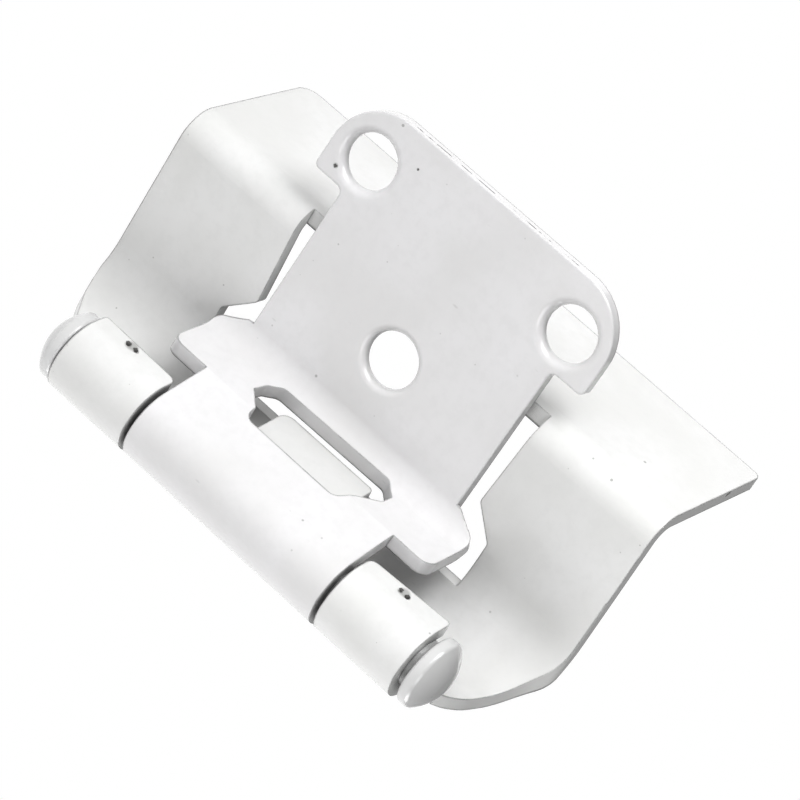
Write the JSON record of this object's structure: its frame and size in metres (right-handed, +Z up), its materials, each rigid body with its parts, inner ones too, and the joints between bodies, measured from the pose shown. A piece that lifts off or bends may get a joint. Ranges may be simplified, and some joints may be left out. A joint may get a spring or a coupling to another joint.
{
  "type": "cabinet hinge",
  "caption": "Self-closing partial-wrap cabinet hinge: stamped door wing nested in the window of a frame wing with a wrap flange, short rolled barrel, gloss white.",
  "frame": {"origin": "middle of the two flange screws, on the flange's face that lies against the cabinet's frame member", "axes": "+Z up along the pin; -Y towards the front of the cabinet; +X from the flange into the frame member"},
  "size_m": [0.0437, 0.0432, 0.07],
  "materials": {
    "frame_paint": "gloss white paint",
    "door_paint": "gloss white paint",
    "pin_paint": "gloss white paint",
    "spring_paint": "gloss white paint"
  },
  "bodies": {
    "frame": {"frame_wing": "frame_paint", "upper_pin": "pin_paint", "lower_pin": "pin_paint"},
    "door": {"door_wing": "door_paint", "closing_spring": "spring_paint"}
  },
  "joints": [
    {"name": "door_swing", "type": "hinge", "parent": "frame", "child": "door", "pos_m": [0.02216, -0.0255, 0], "axis": [0, 0, 1], "range_deg": [0, 180], "stiffness_Nm_per_rad": 0.02, "springref_deg": -20.05}
  ]
}
